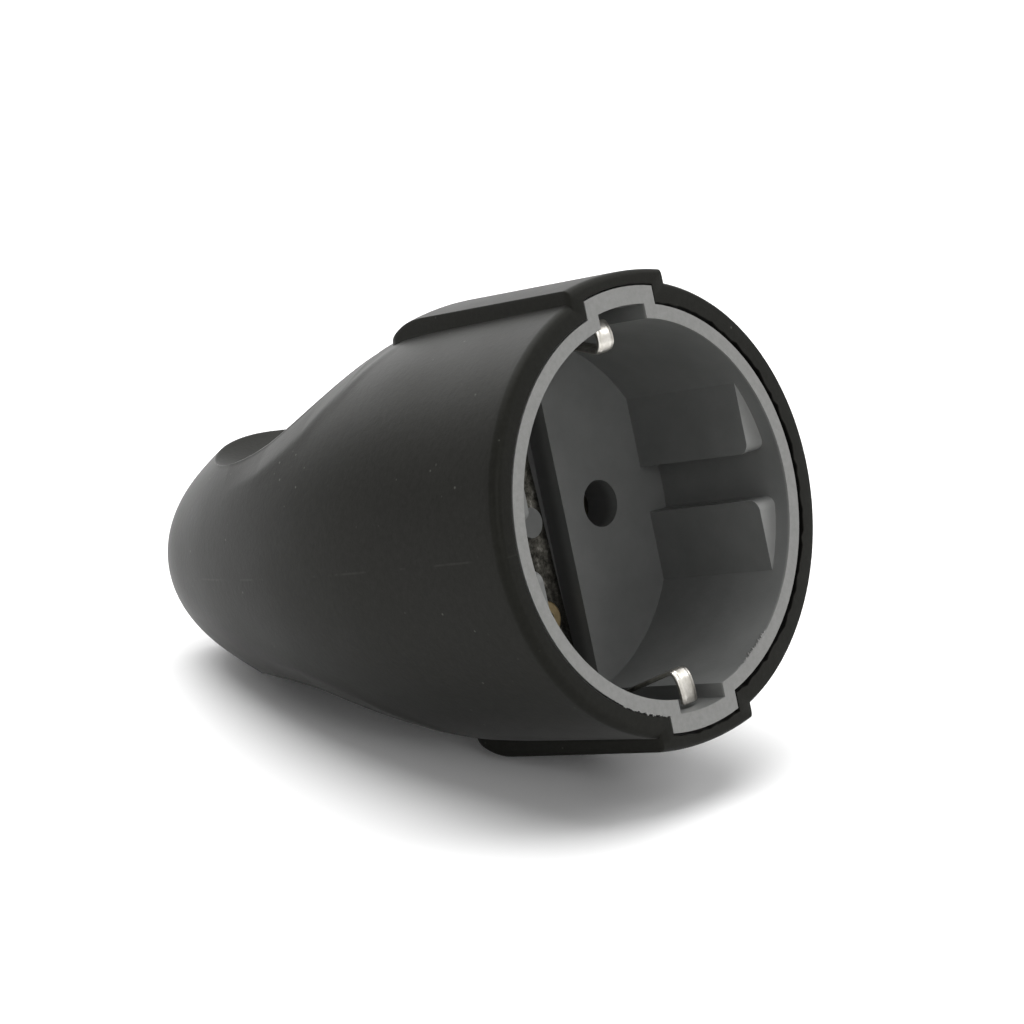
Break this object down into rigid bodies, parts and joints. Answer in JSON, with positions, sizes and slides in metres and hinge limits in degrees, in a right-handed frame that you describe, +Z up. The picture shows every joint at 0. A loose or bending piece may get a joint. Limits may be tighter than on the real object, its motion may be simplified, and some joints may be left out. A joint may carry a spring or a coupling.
{
  "type": "grounded socket connector",
  "caption": "Rubber-bodied in-line socket connector for a round earthed plug, with side earth clips, thumb hollows and a cord inlet at its rear.",
  "frame": {"origin": "middle of the overall box, at the height of the surface the connector lies on", "axes": "+X towards the mouth along the surface, +Y to the right seen from the mouth, +Z up; the connector's own axis rises 16.1 degrees from +X towards +Z"},
  "size_m": [0.0816, 0.0472, 0.0546],
  "materials": {
    "rubber": "matt black rubber, finely dusted",
    "grey_moulding": "dull grey thermoset, cut rim lighter than the inside",
    "carrier_moulding": "plain moulded plastic",
    "nickel_strip": "nickel-plated strip, bright at the clips and mottled in the groove",
    "brass": "plain brass",
    "steel": "zinc-plated steel"
  },
  "bodies": {
    "root": {"rubber_housing": "rubber", "socket_cup": "grey_moulding", "earth_strap": "nickel_strip", "earth_rivet": "brass", "earth_terminal": "brass", "earth_terminal_screw": "steel", "contact_carrier": "carrier_moulding", "carrier_screw": "steel", "cord_clamp_bar": "carrier_moulding", "left_line_contact": "brass", "left_contact_spring": "steel", "left_terminal_frame": "brass", "left_terminal_screw": "steel", "left_clamp_screw": "steel", "left_clamp_nut": "steel", "right_line_contact": "brass", "right_contact_spring": "steel", "right_terminal_frame": "brass", "right_terminal_screw": "steel", "right_clamp_screw": "steel", "right_clamp_nut": "steel"}
  },
  "joints": []
}
